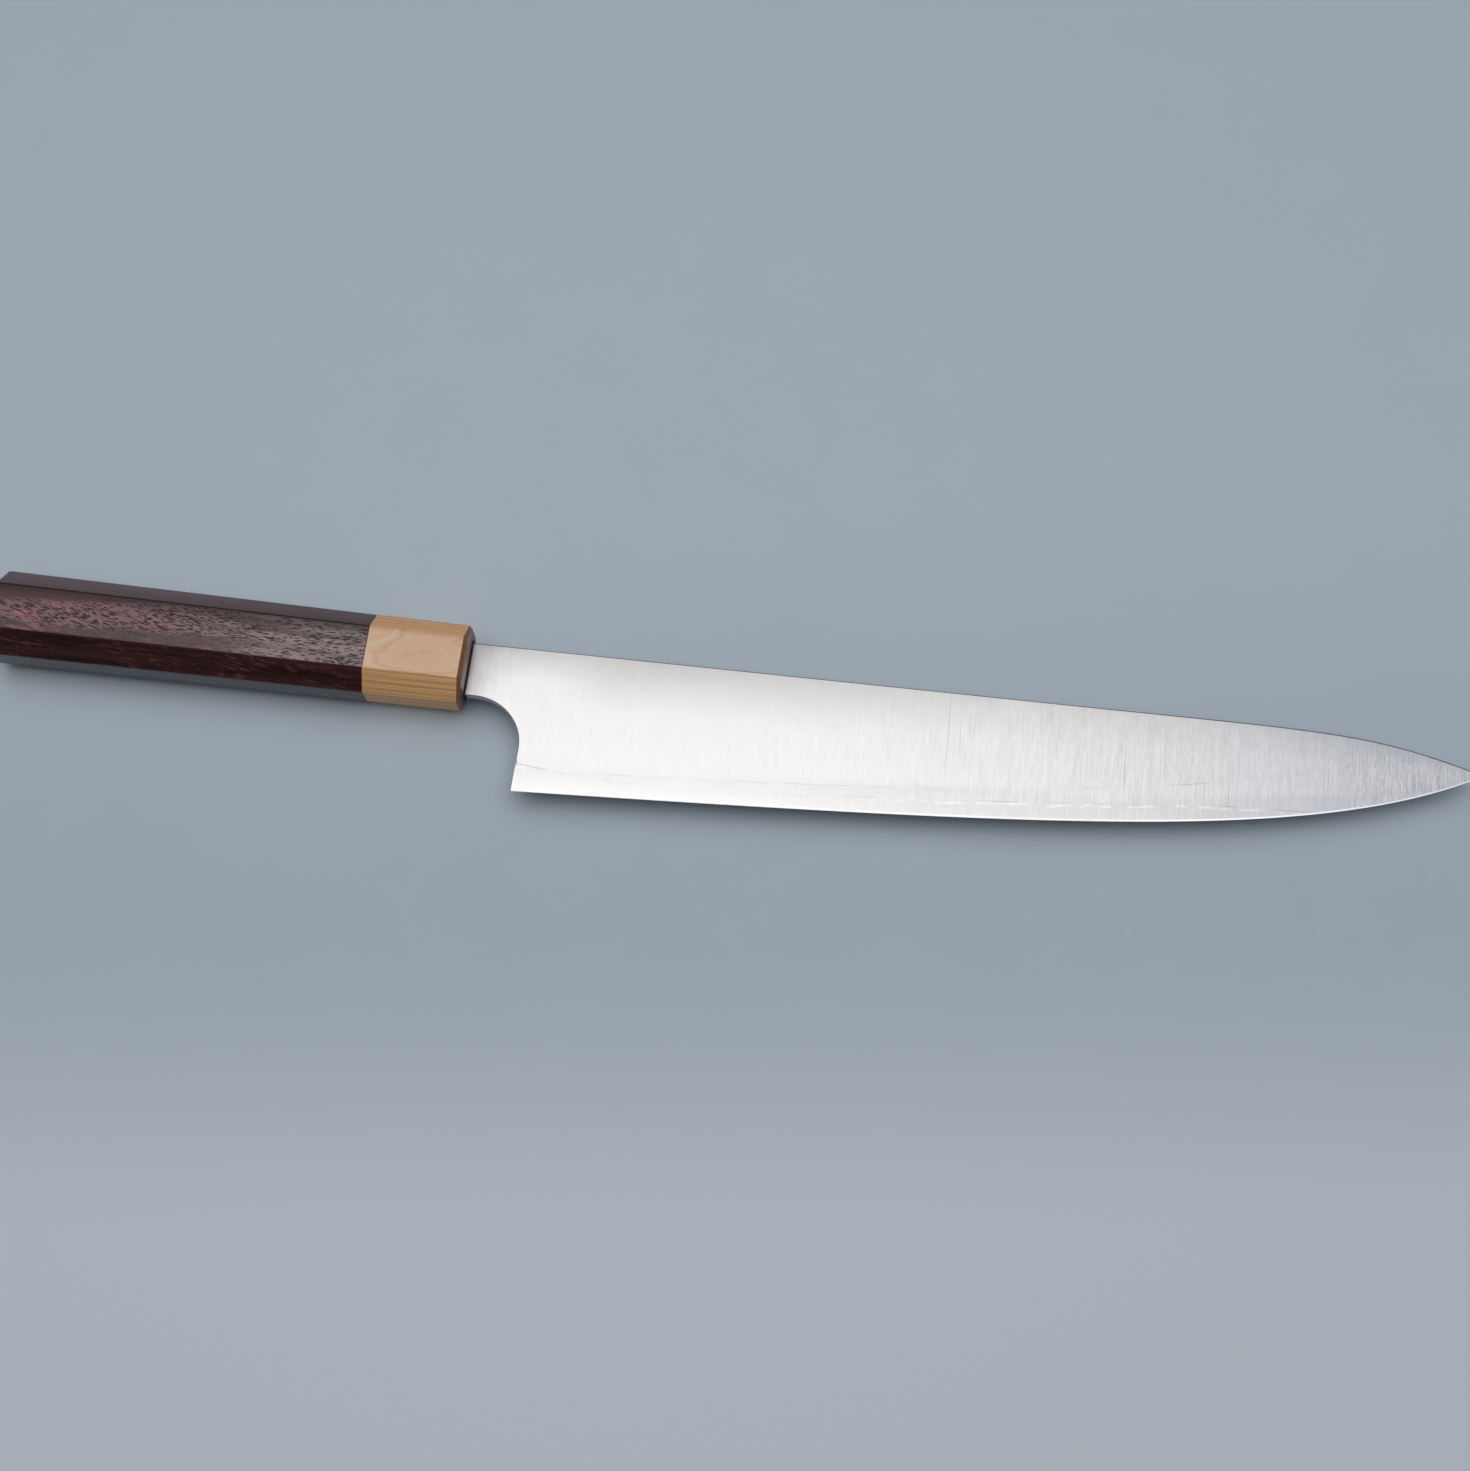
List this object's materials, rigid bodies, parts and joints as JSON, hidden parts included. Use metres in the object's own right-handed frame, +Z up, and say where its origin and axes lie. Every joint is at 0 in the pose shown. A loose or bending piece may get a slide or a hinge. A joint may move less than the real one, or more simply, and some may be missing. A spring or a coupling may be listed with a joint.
{
  "type": "slicing knife",
  "caption": "Long slender slicing knife with a laminated steel blade, a rounded choil and an octagonal dark wooden handle with a pale wooden ferrule.",
  "frame": {"origin": "the middle of the flat of the handle body that the knife lies on", "axes": "+X along the handle toward the tip, +Y toward the spine, +Z up, out of the blade's right face"},
  "size_m": [0.4208, 0.0472, 0.0194],
  "materials": {
    "rosewood": "oiled, open pores",
    "boxwood": "satin, sanded smooth",
    "dowel_wood": "plain turned wood",
    "resin": "matte dark resin",
    "cladding_steel": "satin, fine scratches across the length",
    "core_steel": "fine satin, bright at the cutting edge"
  },
  "bodies": {
    "root": {"handle_body": "rosewood", "ferrule": "boxwood", "dowel": "dowel_wood", "neck_seal": "resin", "blade_core": "core_steel", "cladding_right": "cladding_steel", "cladding_left": "cladding_steel"}
  },
  "joints": []
}
